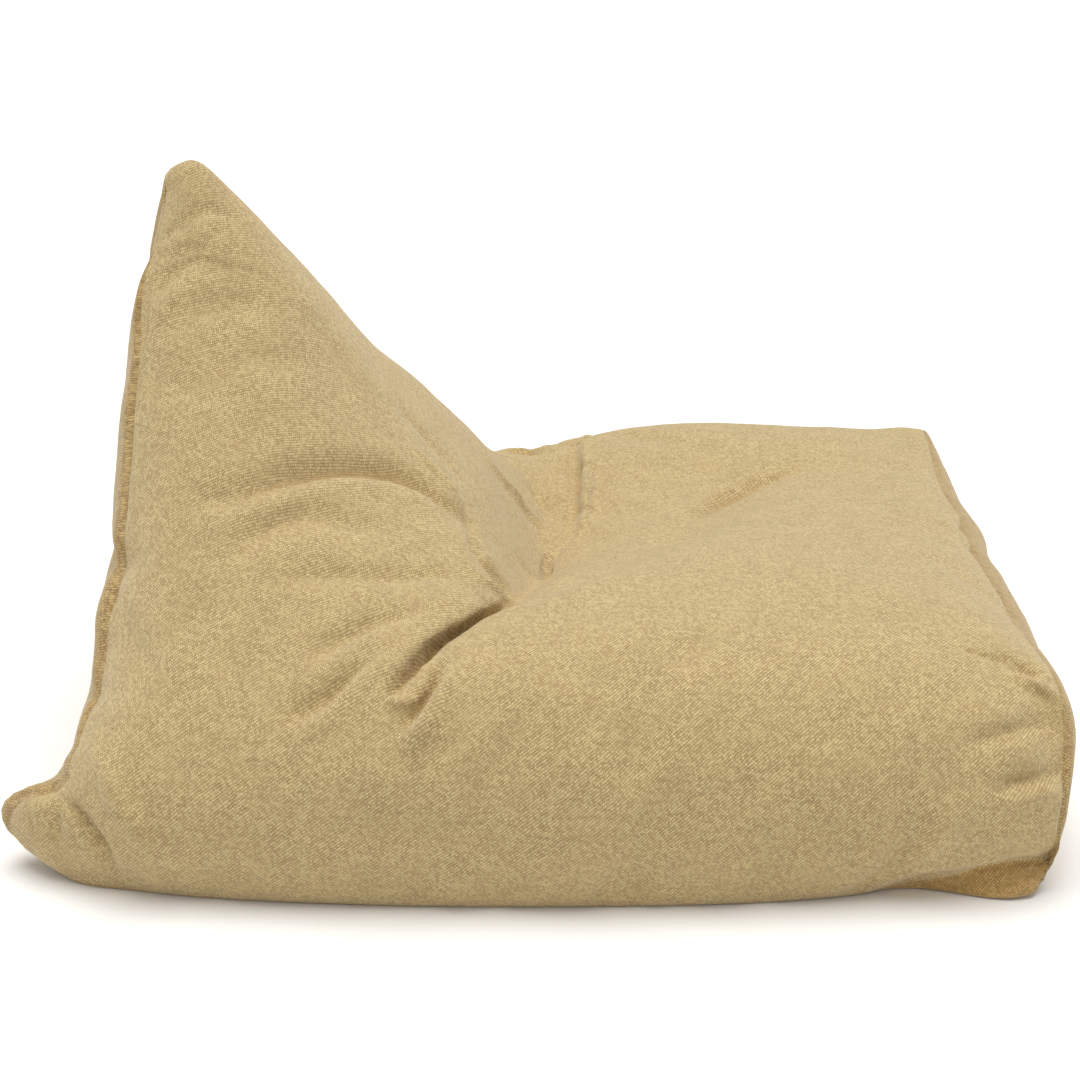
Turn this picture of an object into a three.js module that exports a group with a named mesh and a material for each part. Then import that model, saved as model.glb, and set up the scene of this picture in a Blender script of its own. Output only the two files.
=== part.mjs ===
// Bean-bag lounger pouf: one sewn cloth bag, filled and slumped, with a pointed back, a dished seat and
// a deep crease between them. Millimetres, +Z up, foot end towards +X, standing on Z = 0.
import * as THREE from "three";

// Driving sizes
const clothColor = 0xbfa673;
const stepsPerSection = 4; // mesh rows between two sections of the table
const topSteps = 18; // mesh points across the seat, and across the base
const sideSteps = 16; // mesh points up each side
const finePerSegment = 20; // parts of a curve's segment, for measuring its length
const crownPoint = 3; // which of a section's control points is the near crown
// How far each panel swells past its seam; with a rise above 1 it is fullest above its middle, and a
// steepness under 1 lets it swell close to its upright edges.
const panelSteepness = 0.5;
const panelBulges = {
  back: { out: -36, rise: 1.3 },
  foot: { out: 44, rise: 1.9 },
};
const contactInset = 14; // how far inside the base seam the bag meets the floor
const contactReach = 0.85; // how far the base reaches out under a lifted seam, as a share of its lift

// Sections of the sleeve from the back seam to the foot seam. The near half of each runs up from the floor
// over the side's fullest line (full), the upper side (high) and the crown (crest) to a line on the way to
// the middle (near). The y values are distances from the middle line.
const nearColumns = `floorX floorY fullX fullY highX highY highZ crestX crestY crestZ nearX nearY nearZ`;
const nearHalf = {
  backSeam: [-510, 442, -497, 452, -459, 318, 240, -446, 82, 560, -434, 42, 612],
  backEdge: [-487, 464, -474, 480, -438, 352, 245, -404, 88, 570, -397, 46, 628],
  peak: [-425, 478, -422, 505, -392, 392, 245, -348, 78, 564, -342, 40, 600],
  shoulder: [-375, 488, -370, 516, -335, 408, 245, -290, 72, 528, -284, 37, 546],
  upperFront: [-330, 494, -322, 523, -280, 415, 245, -226, 92, 438, -212, 47, 448],
  middleFront: [-290, 498, -280, 526, -236, 425, 242, -168, 127, 364, -150, 63, 368],
  lowerFront: [-252, 501, -242, 528, -200, 440, 240, -116, 180, 314, -92, 88, 300],
  lip: [-220, 503, -208, 530, -168, 454, 236, -74, 252, 272, -52, 124, 240],
  crease: [-190, 505, -176, 531, -142, 464, 228, -34, 268, 224, -16, 130, 188],
  seatRoll: [-150, 507, -138, 532, -106, 468, 228, 6, 272, 254, 28, 134, 210],
  nearSeat: [-60, 509, -52, 533, -10, 464, 229, 80, 276, 260, 90, 136, 234],
  midSeat: [90, 508, 94, 532, 130, 460, 226, 184, 278, 260, 188, 138, 250],
  wideSeat: [245, 500, 248, 524, 270, 456, 220, 300, 288, 256, 304, 144, 250],
  footSeat: [385, 480, 388, 510, 400, 454, 208, 412, 318, 242, 414, 159, 240],
  footEdge: [478, 480, 486, 498, 494, 462, 182, 498, 370, 222, 499, 185, 223],
  footSeam: [530, 472, 538, 482, 540, 466, 138, 542, 430, 200, 534, 215, 203],
};
// The middle line (top) of the same sections, the far half's dish (far) and its crown.
const farColumns = `topX topZ farX farZ farCrestX farCrestY farCrestZ`;
const farHalf = {
  backSeam: [-423, 658, -434, 610, -446, 82, 558],
  backEdge: [-394, 675, -397, 624, -404, 86, 566],
  peak: [-340, 622, -342, 596, -348, 80, 556],
  shoulder: [-282, 549, -282, 538, -290, 88, 504],
  upperFront: [-208, 448, -208, 440, -220, 128, 414],
  middleFront: [-140, 362, -138, 358, -156, 185, 340],
  lowerFront: [-76, 280, -80, 276, -114, 270, 270],
  lip: [-36, 210, -36, 204, -66, 356, 190],
  crease: [2, 158, 6, 156, -6, 408, 136],
  seatRoll: [38, 172, 42, 176, 34, 398, 184],
  nearSeat: [92, 194, 92, 190, 90, 376, 203],
  midSeat: [190, 220, 188, 202, 186, 356, 224],
  wideSeat: [304, 234, 304, 212, 302, 360, 226],
  footSeat: [414, 234, 414, 222, 412, 380, 220],
  footEdge: [499, 222, 499, 217, 498, 405, 208],
  footSeam: [527, 201, 533, 205, 545, 426, 204],
};
// How far the base seam is drawn up off the floor at the near side of each section that has it.
const nearSeamLift = { footSeat: 6, footEdge: 34, footSeam: 38 };
const fullHeight = 92; // height of the side's fullest line over the floor
const farSlack = 7; // how much less full the far side is than the near side
const farShoulder = 42; // how far out and down the far side has rolled over below its crown
const farDishAt = 0.5; // where the far dish runs, as a share of the way from the middle to the far crown

// Folds and creases: a path of points on the cloth, half its width, and its depth (below 0 it is a ridge).
const foldSteps = 40; // points along a fold's line
const foldReach = 3; // half widths from a fold's line that still move
const foldEnd = 0.08; // how early a fold begins to fade at its ends, as a share of its length
const folds = [
  {
    name: "far notch", width: 20, depth: 22,
    path: [[-18, 505, 95], [-12, 485, 135], [-8, 462, 160], [-4, 440, 158], [0, 420, 155]],
  },
  {
    name: "back panel swell", width: 70, depth: -11,
    path: [[-500, -300, 200], [-520, -150, 170], [-520, 50, 150], [-510, 200, 170]],
  },
  {
    name: "seat valley", width: 44, depth: 13,
    path: [[100, -150, 236], [160, -60, 218], [220, 50, 208], [262, 130, 205], [315, 205, 208]],
  },
  {
    name: "lobe", width: 26, depth: -11,
    path: [[-125, -385, 262], [-92, -335, 262], [-62, -285, 256], [-38, -252, 242]],
  },
  {
    name: "slit", width: 19, depth: 36,
    path: [[-156, -464, 218], [-122, -410, 228], [-93, -338, 230], [-55, -290, 230], [-25, -278, 235]],
  },
  {
    name: "slit branch", width: 15, depth: 11,
    path: [[-135, -490, 200], [-115, -465, 220], [-94, -412, 226]],
  },
  {
    name: "main arc", width: 20, depth: 16,
    path: [[-370, -275, 370], [-315, -255, 370], [-220, -175, 360], [-145, -145, 330], [-90, -140, 292]],
  },
  {
    name: "second arc", width: 22, depth: 7,
    path: [[-340, -335, 315], [-285, -290, 335], [-215, -265, 330], [-150, -248, 312]],
  },
  {
    name: "fourth arc", width: 20, depth: 6,
    path: [[-245, -420, 245], [-215, -410, 255], [-170, -385, 268], [-125, -365, 270]],
  },
  {
    name: "fifth arc", width: 20, depth: 8,
    path: [[-258, -470, 198], [-230, -465, 210], [-205, -455, 225], [-165, -425, 248]],
  },
  {
    name: "peak fold", width: 22, depth: 7,
    path: [[-415, -133, 506], [-365, -115, 525], [-300, -92, 520]],
  },
  {
    name: "shoulder fold", width: 20, depth: 5,
    path: [[-345, -138, 497], [-290, -135, 470], [-255, -105, 465]],
  },
  {
    name: "edge bump", width: 28, depth: -3,
    path: [[-440, -340, 250], [-472, -315, 242], [-500, -270, 235], [-510, -200, 230]],
  },
  {
    name: "front trough", width: 18, depth: 13,
    path: [[-45, 262, 200], [-30, 250, 172], [-14, 228, 152], [4, 195, 144], [14, 160, 146]],
  },
  {
    name: "far ridge", width: 19, depth: -13,
    path: [[68, 415, 190], [65, 355, 200], [62, 230, 196], [55, 110, 184], [36, 60, 170]],
  },
  {
    name: "ear valley", width: 18, depth: 8,
    path: [[-497, -458, 102], [-478, -480, 94], [-465, -490, 80], [-450, -492, 60]],
  },
];

// Corners pulled out into flat ears: the corner, the pull, how far round it the cloth follows, and the
// height of the ear's middle line with half its own height.
const earTaper = 1.2; // above 1 an ear narrows faster towards its tip
const ears = [
  { corner: [-503, -442], pull: [-76, 26, 12], reach: 72, middleZ: 50, halfHeight: 50 },
  { corner: [-503, 442], pull: [-76, -24, 8], reach: 72, middleZ: 46, halfHeight: 57 },
];

const vector = ([x, y, z]) => new THREE.Vector3(x, y, z);

const named = (columns, row) => Object.fromEntries(columns.split(" ").map((column, i) => [column, row[i]]));

// The sections as objects with named values.
function readSections() {
  return Object.keys(nearHalf).map((name) => ({
    ...named(nearColumns, nearHalf[name]),
    ...named(farColumns, farHalf[name]),
    lift: nearSeamLift[name] ?? 0,
  }));
}

// One section's control points over the sleeve, from the near floor line to the far one.
function sleevePoints(s) {
  const farHighY = Math.max(s.highY, s.farCrestY + farShoulder);
  const farHighZ = Math.min(s.highZ, s.farCrestZ - farShoulder);
  return [
    [s.floorX, -s.floorY, s.lift],
    [s.fullX, -s.fullY, fullHeight],
    [s.highX, -s.highY, s.highZ],
    [s.crestX, -s.crestY, s.crestZ],
    [s.nearX, -s.nearY, s.nearZ],
    [s.topX, 0, s.topZ],
    [s.farX, s.farCrestY * farDishAt, s.farZ],
    [s.farCrestX, s.farCrestY, s.farCrestZ],
    [s.highX, farHighY, farHighZ],
    [s.fullX, s.fullY - farSlack, fullHeight],
    [s.floorX, s.floorY - farSlack, 0],
  ].map(vector);
}

function spread(from, to, steps) {
  return Array.from({ length: steps + 1 }, (_, i) => from + ((to - from) * i) / steps);
}

// A smooth curve through one section's control points, read at even distances on each of its three
// stretches: up the near side to the crown, over to the far crown, and down the far side.
function sleeveLine(points) {
  const curve = new THREE.CatmullRomCurve3(points);
  const segments = points.length - 1;
  const lengths = curve.getLengths(segments * finePerSegment);
  const shareAt = (i) => lengths[i * finePerSegment] / lengths[lengths.length - 1];
  const crown = shareAt(crownPoint);
  const farCrown = shareAt(segments - crownPoint);
  const shares = [
    ...spread(0, crown, sideSteps),
    ...spread(crown, farCrown, topSteps).slice(1, -1),
    ...spread(farCrown, 1, sideSteps),
  ];
  return shares.map((share) => curve.getPointAt(share));
}

// The base from the far floor line to the near one: it lies on the floor between two lines just inside
// the seams, and reaches out under a seam that is drawn up.
function basePoints(near, far) {
  const nearContact = new THREE.Vector3(near.x, near.y + contactInset - contactReach * near.z, 0);
  const farContact = new THREE.Vector3(far.x, far.y - contactInset, 0);
  return spread(0, 1, topSteps - 2).map((t) => farContact.clone().lerp(nearContact, t));
}

// The rings of the bag, each closed over the flat base.
function makeRings() {
  const sections = readSections().map(sleevePoints);
  const rows = (sections.length - 1) * stepsPerSection;
  const lines = sections[0].map((_, i) => {
    return new THREE.CatmullRomCurve3(sections.map((section) => section[i])).getPoints(rows);
  });
  return spread(0, rows, rows).map((row) => {
    const sleeve = sleeveLine(lines.map((line) => line[row]));
    return [...sleeve, ...basePoints(sleeve[0], sleeve[sleeve.length - 1])];
  });
}

// A panel sewn into a closed ring: rows of points from its near side to its far side.
function panelGrid(ring, { out, rise }) {
  const side = sideSteps;
  const across = topSteps;
  const near = ring.slice(0, side + 1);
  const top = ring.slice(side, side + across + 1);
  const far = ring.slice(side + across, 2 * side + across + 1).reverse();
  const base = [...ring.slice(2 * side + across), ring[0]].reverse();
  const corners = [near[0], near[side], far[0], far[side]];
  return spread(0, across, across).map((i) => {
    const u = i / across;
    return spread(0, side, side).map((j) => {
      const v = j / side;
      const point = new THREE.Vector3()
        .addScaledVector(near[j], 1 - u)
        .addScaledVector(far[j], u)
        .addScaledVector(base[i], 1 - v)
        .addScaledVector(top[i], v)
        .addScaledVector(corners[0], -(1 - u) * (1 - v))
        .addScaledVector(corners[1], -(1 - u) * v)
        .addScaledVector(corners[2], -u * (1 - v))
        .addScaledVector(corners[3], -u * v);
      point.x += out * Math.sin(Math.PI * u) ** panelSteepness * Math.sin(Math.PI * v ** rise);
      return point;
    });
  });
}

// Collects the bag's points and faces; a ring point and a panel's edge share one number.
function makeBag() {
  const rings = makeRings();
  const round = rings[0].length;
  const points = rings.flat();
  const faces = [];
  const addQuad = (a, b, c, d) => {
    const straight = points[a].distanceTo(points[c]) < points[b].distanceTo(points[d]);
    faces.push(...(straight ? [[a, b, c], [a, c, d]] : [[a, b, d], [b, c, d]]));
  };
  for (let row = 0; row < rings.length - 1; row++) {
    for (let i = 0; i < round; i++) {
      const next = (i + 1) % round;
      addQuad(row * round + i, (row + 1) * round + i, (row + 1) * round + next, row * round + next);
    }
  }
  const panels = [
    { row: 0, bulge: panelBulges.back, flip: true },
    { row: rings.length - 1, bulge: panelBulges.foot, flip: false },
  ];
  for (const { row, bulge, flip } of panels) {
    const grid = panelGrid(rings[row], bulge);
    const start = points.length;
    points.push(...grid.slice(1, -1).flatMap((line) => line.slice(1, -1)));
    const number = (i, j) => {
      if (i === 0) return row * round + j;
      if (i === topSteps) return row * round + 2 * sideSteps + topSteps - j;
      if (j === sideSteps) return row * round + sideSteps + i;
      if (j === 0) return row * round + (round - i);
      return start + (i - 1) * (sideSteps - 1) + j - 1;
    };
    for (let i = 0; i < topSteps; i++) {
      for (let j = 0; j < sideSteps; j++) {
        const quad = [number(i, j), number(i + 1, j), number(i + 1, j + 1), number(i, j + 1)];
        addQuad(...(flip ? quad.reverse() : quad));
      }
    }
  }
  return { points, faces };
}

// The points' outward directions.
function outwardNormals(points, faces) {
  const normals = points.map(() => new THREE.Vector3());
  for (const [a, b, c] of faces) {
    const face = points[b].clone().sub(points[a]).cross(points[c].clone().sub(points[a]));
    for (const i of [a, b, c]) normals[i].add(face);
  }
  return normals.map((n) => n.normalize());
}

// Presses the folds into the bag, or raises them, fading out towards their ends. A fold's line is first
// laid onto the cloth.
function pressFolds(points, faces) {
  for (const { path, width, depth } of folds) {
    const normals = outwardNormals(points, faces);
    const line = new THREE.CatmullRomCurve3(path.map(vector)).getSpacedPoints(foldSteps);
    for (const spot of line) {
      const gaps = points.map((point) => point.distanceTo(spot));
      const nearest = gaps.indexOf(Math.min(...gaps));
      const height = spot.clone().sub(points[nearest]).dot(normals[nearest]);
      spot.addScaledVector(normals[nearest], -height);
    }
    points.forEach((point, i) => {
      const gaps = line.map((p) => p.distanceTo(point));
      const gap = Math.min(...gaps);
      if (gap > foldReach * width) return;
      const along = gaps.indexOf(gap) / (line.length - 1);
      const fade = Math.sin(Math.PI * (foldEnd + (1 - 2 * foldEnd) * along));
      point.addScaledVector(normals[i], -depth * fade * Math.exp(-((gap / width) ** 2)));
    });
  }
}

// Pulls the corners out into ears.
function pullEars(points) {
  for (const { corner, pull, reach, middleZ, halfHeight } of ears) {
    const by = vector(pull);
    for (const point of points) {
      const near = Math.max(0, 1 - Math.hypot(point.x - corner[0], point.y - corner[1]) / reach);
      const level = Math.max(0, 1 - ((point.z - middleZ) / halfHeight) ** 2);
      point.addScaledVector(by, near ** earTaper * Math.sqrt(level));
    }
  }
}

// The filled bag as one closed mesh, its origin under the middle of its box.
function makePouf() {
  const { points, faces } = makeBag();
  pressFolds(points, faces);
  pullEars(points);
  for (const point of points) point.z = Math.max(point.z, 0);
  const box = new THREE.Box3().setFromPoints(points);
  const middle = box.getCenter(new THREE.Vector3());
  const geometry = new THREE.BufferGeometry().setFromPoints(points);
  geometry.setIndex(faces.flat());
  geometry.translate(-middle.x, -middle.y, -box.min.z);
  const cloth = new THREE.MeshStandardMaterial({ color: clothColor, roughness: 0.95, metalness: 0 });
  const mesh = new THREE.Mesh(geometry, cloth);
  mesh.name = "pouf_body";
  return mesh;
}

const pouf = new THREE.Group();
pouf.add(makePouf());

export default pouf;
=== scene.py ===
import math

import bmesh
import bpy
import numpy as np
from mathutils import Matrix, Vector, noise
from mathutils.kdtree import KDTree


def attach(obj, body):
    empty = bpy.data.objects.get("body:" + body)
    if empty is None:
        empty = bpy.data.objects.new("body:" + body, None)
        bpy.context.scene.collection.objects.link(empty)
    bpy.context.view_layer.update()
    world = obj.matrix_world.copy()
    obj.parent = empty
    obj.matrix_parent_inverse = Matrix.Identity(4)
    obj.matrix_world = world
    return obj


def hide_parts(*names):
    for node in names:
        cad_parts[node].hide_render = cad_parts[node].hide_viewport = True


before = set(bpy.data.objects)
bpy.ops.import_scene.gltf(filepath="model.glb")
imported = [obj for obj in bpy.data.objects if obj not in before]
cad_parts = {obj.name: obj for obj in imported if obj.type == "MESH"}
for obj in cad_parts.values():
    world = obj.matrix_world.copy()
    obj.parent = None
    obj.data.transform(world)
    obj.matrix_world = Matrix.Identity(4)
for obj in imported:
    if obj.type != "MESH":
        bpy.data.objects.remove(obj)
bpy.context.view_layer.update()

# Bean-bag lounger pouf: a sewn cloth bag, slumped on its filling, with a pointed back and a dished seat.
# The tables are in millimetres, in a plan whose planCentre is the frame's origin.

mm = 0.001
planCentre = (-1.662, -3.306)


# Helpers

def srgb(hexColour):
    # sRGB hex to linear red, green, blue, alpha
    parts = [int(hexColour.lstrip("#")[i:i + 2], 16) / 255 for i in (0, 2, 4)]
    linear = [c / 12.92 if c <= 0.04045 else ((c + 0.055) / 1.055) ** 2.4 for c in parts]
    return (*linear, 1.0)


def inFrame(points):
    # Plan millimetres to frame metres
    return (np.asarray(points, float) - (*planCentre, 0)) * mm


def addNode(tree, kind, settings=None, inputs=()):
    # Adds a node; its inputs, in order or by name, are values or the outputs that feed them
    node = tree.nodes.new(kind)
    for key, value in (settings or {}).items():
        setattr(node, key, value)
    for key, value in inputs.items() if isinstance(inputs, dict) else enumerate(inputs):
        if isinstance(value, bpy.types.NodeSocket):
            tree.links.new(value, node.inputs[key])
        else:
            node.inputs[key].default_value = value
    return node


# Camera, where the photograph was taken from

camera = {
    "height": 1.127,  # above the floor, in metres
    "distance": 2.2865,  # in front of the plan's middle, in metres
    "downTilt": 22,  # in degrees
    "lens": 66.67,
    "sensor": 36,
}

cameraData = bpy.data.cameras.new("photoCamera")
cameraData.lens = camera["lens"]
cameraData.sensor_width = camera["sensor"]
cameraData.sensor_fit = "HORIZONTAL"
cameraObject = bpy.data.objects.new("photoCamera", cameraData)
cameraObject.location = (-planCentre[0] * mm, -camera["distance"] - planCentre[1] * mm, camera["height"])
cameraObject.rotation_euler = (math.radians(90 - camera["downTilt"]), 0, 0)
bpy.context.scene.collection.objects.link(cameraObject)
bpy.context.scene.camera = cameraObject
print("stage: camera")


# Shape of the bag

bag = {
    "rows": 102,  # mesh rows from the back seam to the foot seam
    "creaseRows": 1.6,  # how much closer the rows lie at the crease
    "creaseSpan": 0.13,  # how far that reaches, as a share of the sections
    "sideSteps": 32,  # mesh steps up each side
    "topSteps": 52,  # mesh steps across the seat, and across the base
    "riseSteps": 4,  # how many of the base's steps rise to the lifted near seam
    "fullHeight": 92,  # height of each side's fullest line
    "farSlack": 7,  # how much less far the far side stands out
    "farShoulder": 42,  # how far the far side's shoulder lies out from and below its crown
    "farDishAt": 0.5,  # where the seat's far dish lies, as a share of the way to the far crown
    "contactInset": 14,  # how far inside the base seam the bag meets the floor
    "contactReach": 0.95,  # how far the base reaches out under a lifted seam, as a share of its lift
    "hemOut": 3,  # how far the near base seam is let out for the rounding of the finer mesh
    "panelSteepness": 0.5,  # under 1, a panel swells close to its upright edges
    "panelBulges": {"back": (-36, 1.3), "foot": (44, 1.9)},  # how far out, and how high the fullest place is
    "panelSlope": 1.05,  # length of a panel's sloping cloth for each unit of its height
    "patternGap": 1500,  # how far apart the cut pieces lie in the cloth's own coordinates
}

# Near half of each section: floor line, fullest line, upper side, crown, and a line on the way to the middle.
nearColumns = "floorX floorY fullX fullY highX highY highZ crestX crestY crestZ nearX nearY nearZ"
nearHalf = {
    "backSeam": [-510, 442, -497, 452, -459, 318, 240, -446, 82, 560, -434, 42, 612],
    "backEdge": [-487, 464, -474, 480, -438, 352, 245, -404, 88, 570, -397, 46, 628],
    "peak": [-425, 478, -422, 505, -392, 392, 245, -348, 78, 564, -342, 40, 600],
    "shoulder": [-375, 488, -370, 516, -335, 408, 245, -290, 72, 528, -284, 37, 546],
    "upperFront": [-330, 494, -322, 523, -280, 415, 245, -226, 92, 438, -212, 47, 448],
    "middleFront": [-290, 498, -280, 526, -236, 425, 242, -168, 127, 364, -150, 63, 368],
    "lowerFront": [-252, 501, -242, 528, -200, 440, 240, -116, 180, 314, -92, 88, 300],
    "lip": [-220, 503, -208, 530, -168, 454, 236, -74, 252, 272, -52, 124, 240],
    "crease": [-190, 505, -176, 531, -142, 464, 228, -34, 268, 224, -16, 130, 188],
    "seatRoll": [-150, 507, -138, 532, -106, 468, 228, 6, 272, 254, 28, 134, 210],
    "nearSeat": [-60, 509, -52, 533, -10, 464, 229, 80, 276, 260, 90, 136, 234],
    "midSeat": [90, 508, 94, 532, 130, 460, 226, 184, 278, 260, 188, 138, 250],
    "wideSeat": [245, 500, 248, 524, 270, 456, 220, 300, 288, 256, 304, 144, 250],
    "footSeat": [385, 480, 388, 510, 400, 454, 208, 412, 318, 242, 414, 159, 240],
    "footEdge": [478, 480, 486, 498, 494, 462, 182, 498, 370, 222, 499, 185, 223],
    "footSeam": [530, 472, 538, 482, 540, 466, 138, 542, 430, 200, 534, 215, 203],
}
# Far half: the middle line, a line on the way to the far crown, and that crown.
farColumns = "topX topZ farX farZ farCrestX farCrestY farCrestZ"
farHalf = {
    "backSeam": [-423, 658, -434, 610, -446, 82, 558],
    "backEdge": [-394, 675, -397, 624, -404, 86, 566],
    "peak": [-340, 622, -342, 596, -348, 80, 556],
    "shoulder": [-282, 549, -282, 538, -290, 88, 504],
    "upperFront": [-208, 448, -208, 440, -220, 128, 414],
    "middleFront": [-140, 362, -138, 358, -156, 185, 340],
    "lowerFront": [-76, 280, -80, 276, -114, 270, 270],
    "lip": [-36, 210, -36, 204, -66, 356, 190],
    "crease": [2, 158, 6, 164, -6, 408, 174],
    "seatRoll": [38, 172, 42, 176, 34, 398, 184],
    "nearSeat": [92, 194, 92, 190, 90, 376, 203],
    "midSeat": [190, 220, 188, 202, 186, 356, 224],
    "wideSeat": [304, 234, 304, 212, 302, 360, 226],
    "footSeat": [414, 234, 414, 222, 412, 380, 220],
    "footEdge": [499, 222, 499, 217, 498, 405, 208],
    "footSeam": [527, 201, 533, 205, 545, 426, 204],
}
# How far the near base seam is drawn up off the floor, where it is
nearSeamLift = {"footSeat": 6, "footEdge": 34, "footSeam": 38}

# The back's lower corners, pulled out into flat ears
earTaper = 1.2  # how pointed they are
ears = [
    {"corner": (-503, -442), "pull": (-76, 26, 12), "reach": 72, "middleZ": 50, "halfHeight": 50},
    {"corner": (-503, 442), "pull": (-76, -24, 8), "reach": 72, "middleZ": 46, "halfHeight": 57},
]


def curveAt(controls, places):
    # Points of a smooth curve through the controls, at places from 0 to 1 along it
    controls = np.asarray(controls, float)
    ends = np.vstack([2 * controls[0] - controls[1], controls, 2 * controls[-1] - controls[-2]])
    along = np.clip(np.asarray(places, float) * (len(controls) - 1), 0, len(controls) - 1 - 1e-9)
    segment = along.astype(int)
    t = (along - segment)[:, None]
    p0, p1, p2, p3 = (ends[segment + k] for k in range(4))
    gap01, gap12, gap23 = (
        np.maximum(np.linalg.norm(b - a, axis=1), 1e-6)[:, None] ** 0.5
        for a, b in ((p0, p1), (p1, p2), (p2, p3))
    )
    leave = ((p1 - p0) / gap01 - (p2 - p0) / (gap01 + gap12) + (p2 - p1) / gap12) * gap12
    arrive = ((p2 - p1) / gap12 - (p3 - p1) / (gap12 + gap23) + (p3 - p2) / gap23) * gap12
    cube, square = t ** 3, t ** 2
    return (
        (2 * cube - 3 * square + 1) * p1 + (cube - 2 * square + t) * leave
        + (3 * square - 2 * cube) * p2 + (cube - square) * arrive
    )


def lengthsAlong(points):
    # Running length along a row of points
    steps = np.linalg.norm(np.diff(points, axis=0), axis=1)
    return np.concatenate([[0], np.cumsum(steps)])


def evenPlaces(controls, stretches):
    # Places spaced evenly by length on each stretch, given as first control, last control and steps
    fine = np.linspace(0, 1, 30 * (len(controls) - 1) + 1)
    run = lengthsAlong(curveAt(controls, fine))
    places = [0.0]
    for first, last, steps in stretches:
        start, end = np.interp([first, last], fine * (len(controls) - 1), run)
        places.extend(np.interp(np.linspace(start, end, steps + 1)[1:], run, fine))
    return places


def sectionControls(name):
    # One section's control points over the sleeve, from the near floor line to the far one
    s = dict(zip(nearColumns.split(), nearHalf[name])) | dict(zip(farColumns.split(), farHalf[name]))
    farHighY = max(s["highY"], s["farCrestY"] + bag["farShoulder"])
    farHighZ = min(s["highZ"], s["farCrestZ"] - bag["farShoulder"])
    return [
        (s["floorX"], -s["floorY"] - bag["hemOut"], nearSeamLift.get(name, 0)),
        (s["fullX"], -s["fullY"], bag["fullHeight"]),
        (s["highX"], -s["highY"], s["highZ"]),
        (s["crestX"], -s["crestY"], s["crestZ"]),
        (s["nearX"], -s["nearY"], s["nearZ"]),
        (s["topX"], 0, s["topZ"]),
        (s["farX"], s["farCrestY"] * bag["farDishAt"], s["farZ"]),
        (s["farCrestX"], s["farCrestY"], s["farCrestZ"]),
        (s["highX"], farHighY, farHighZ),
        (s["fullX"], s["fullY"] - bag["farSlack"], bag["fullHeight"]),
        (s["floorX"], s["floorY"] - bag["farSlack"], 0),
    ]


def makeRings():
    # The bag's rings from back to foot, each closed over the flat base
    side, top = bag["sideSteps"], bag["topSteps"]
    sections = np.array([sectionControls(name) for name in nearHalf], float)
    fine = np.linspace(0, 1, 20 * (len(sections) - 1) + 1)
    lines = [curveAt(sections[:, i], fine) for i in range(sections.shape[1])]
    run = np.mean([lengthsAlong(line) for line in lines], axis=0)
    crease = list(nearHalf).index("crease") / (len(nearHalf) - 1)
    closeness = np.exp(-((fine - crease) / bag["creaseSpan"]) ** 2)
    run = np.concatenate([[0], np.cumsum(np.diff(run) * (1 + bag["creaseRows"] * closeness[1:]))])
    places = np.interp(np.linspace(0, run[-1], bag["rows"] + 1), run, fine)
    controls = np.stack([curveAt(sections[:, i], places) for i in range(sections.shape[1])], axis=1)
    rings = []
    for row in controls:
        sleeve = curveAt(row, evenPlaces(row, [(0, 3, side), (3, 7, top), (7, 10, side)]))
        near, far = sleeve[0], sleeve[-1]
        nearContact = (near[0], near[1] + bag["contactInset"] - bag["contactReach"] * near[2], 0)
        farContact = (far[0], far[1] - bag["contactInset"], 0)
        base = np.linspace(farContact, nearContact, top - bag["riseSteps"])
        rise = np.linspace(nearContact, near, bag["riseSteps"] + 1)[1:-1]
        rings.append(np.vstack([sleeve, base, rise]))
    return np.array(rings)


def panelGrid(ring, bulge):
    # A panel sewn into a closed ring: lines of points from its near edge to its far edge
    side, top = bag["sideSteps"], bag["topSteps"]
    near = ring[:side + 1]
    upper = ring[side:side + top + 1]
    far = ring[side + top:2 * side + top + 1][::-1]
    base = np.vstack([ring[2 * side + top:], ring[:1]])[::-1]
    u = np.linspace(0, 1, top + 1)[:, None, None]
    v = np.linspace(0, 1, side + 1)[None, :, None]
    grid = near[None] * (1 - u) + far[None] * u + base[:, None] * (1 - v) + upper[:, None] * v
    grid -= near[0] * (1 - u) * (1 - v) + near[-1] * (1 - u) * v + far[0] * u * (1 - v) + far[-1] * u * v
    out, rise = bulge
    swell = np.sin(np.pi * u) ** bag["panelSteepness"] * np.sin(np.pi * v ** rise)
    grid[..., 0] += out * np.clip(swell[..., 0], 0, 1)
    return grid


def pullEars(points):
    for ear in ears:
        gap = np.hypot(points[:, 0] - ear["corner"][0], points[:, 1] - ear["corner"][1])
        near = np.clip(1 - gap / ear["reach"], 0, 1) ** earTaper
        level = np.clip(1 - ((points[:, 2] - ear["middleZ"]) / ear["halfHeight"]) ** 2, 0, 1) ** 0.5
        points += np.array(ear["pull"]) * (near * level)[:, None]


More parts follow.
